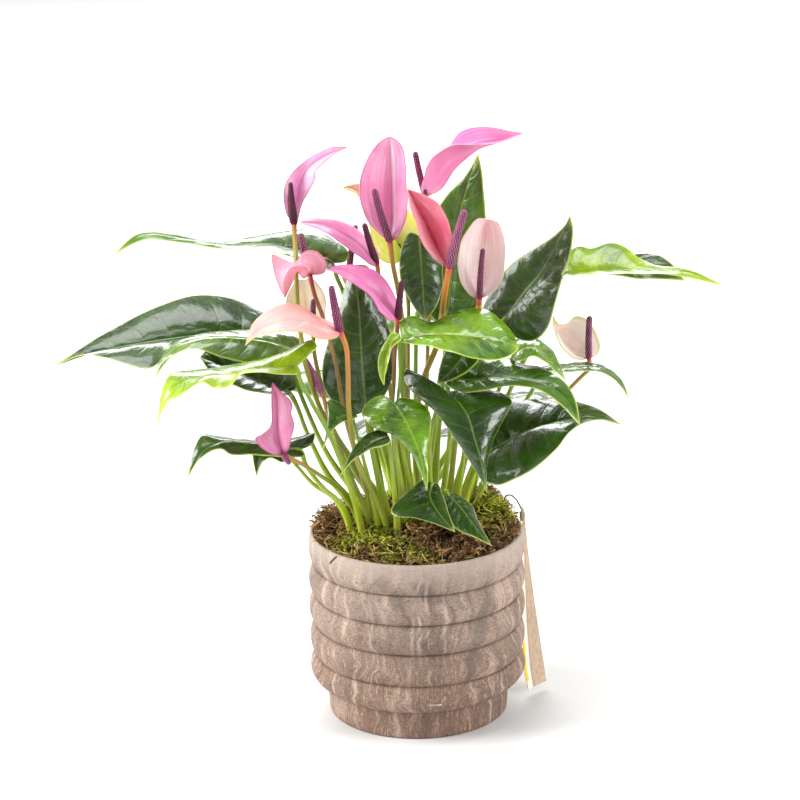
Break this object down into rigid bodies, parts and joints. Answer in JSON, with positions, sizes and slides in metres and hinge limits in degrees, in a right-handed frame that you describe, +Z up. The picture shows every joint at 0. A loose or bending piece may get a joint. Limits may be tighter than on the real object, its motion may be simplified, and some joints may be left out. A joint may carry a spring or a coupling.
{
  "type": "potted anthurium",
  "caption": "Flowering anthurium in a round ringed pot, with soil, moss, glossy leaves, pink spathes on long stalks and a plain card tag.",
  "frame": {"origin": "centre of the flat underside of the pot's foot, on the surface that the pot stands on", "axes": "+Z up along the pot's axis; -Y is the side from which the plant shows best; the tag hangs at +X"},
  "size_m": [0.4588, 0.2532, 0.4182],
  "materials": {
    "pot": "matt weathered stoneware in taupe, with tan and dark-brown marbled swirls",
    "soil": "dark moist potting soil",
    "moss": "dry yellow-green moss mixed with brown fibres",
    "leaf_green": "glossy dark green leaf with a paler margin and midrib",
    "leaf_lime": "glossy yellow-green young leaf",
    "flower_stem": "satin flower stalk, green to orange-brown, with a maroon spadix",
    "spathe_pink": "satin pink spathe, paler beside the midrib",
    "spathe_rose": "satin deep rose spathe",
    "spathe_salmon": "satin salmon-pink spathe",
    "spathe_pale": "satin pale blush spathe with a greenish margin",
    "card": "plain kraft card",
    "wire": "thin dark wire"
  },
  "bodies": {
    "root": {"flower_01_spathe": "spathe_pink", "flower_01_stem_spadix": "flower_stem", "flower_02_spathe": "spathe_pink", "flower_02_stem_spadix": "flower_stem", "flower_03_spathe": "spathe_pink", "flower_03_stem_spadix": "flower_stem", "flower_04_spathe": "spathe_rose", "flower_04_stem_spadix": "flower_stem", "flower_05_spathe": "spathe_pale", "flower_05_stem_spadix": "flower_stem", "flower_06_spathe": "spathe_pale", "flower_06_stem_spadix": "flower_stem", "flower_07_spathe": "spathe_pink", "flower_07_stem_spadix": "flower_stem", "flower_08_spathe": "spathe_pink", "flower_08_stem_spadix": "flower_stem", "flower_09_spathe": "spathe_pink", "flower_09_stem_spadix": "flower_stem", "flower_10_spathe": "spathe_salmon", "flower_10_stem_spadix": "flower_stem", "flower_11_spathe": "spathe_pale", "flower_11_stem_spadix": "flower_stem", "flower_12_spathe": "spathe_pink", "flower_12_stem_spadix": "flower_stem", "flower_13_bud": "spathe_rose", "flower_14_spathe": "spathe_pale", "flower_14_stem_spadix": "flower_stem", "flower_15_spathe": "spathe_rose", "flower_15_stem_spadix": "flower_stem", "leaf_01": "leaf_green", "leaf_02": "leaf_green", "leaf_03": "leaf_green", "leaf_04": "leaf_lime", "leaf_05": "leaf_green", "leaf_06_pair": "leaf_green", "leaf_08": "leaf_green", "leaf_09": "leaf_green", "leaf_10": "leaf_green", "leaf_11": "leaf_green", "leaf_12": "leaf_lime", "leaf_13_pair": "leaf_green", "leaf_14": "leaf_green", "leaf_15": "leaf_green", "leaf_16": "leaf_green", "leaf_17": "leaf_green", "leaf_18": "leaf_green", "leaf_19": "leaf_green", "leaf_20": "leaf_green", "leaf_21_pair": "leaf_green", "leaf_23": "leaf_green", "leaf_24": "leaf_lime", "leaf_25": "leaf_green", "leaf_26": "leaf_green", "leaf_27_pair": "leaf_green", "leaf_28_pair": "leaf_green", "moss": "moss", "pot": "pot", "potting_soil": "soil", "tag": "card", "tag_wire": "wire"}
  },
  "joints": []
}
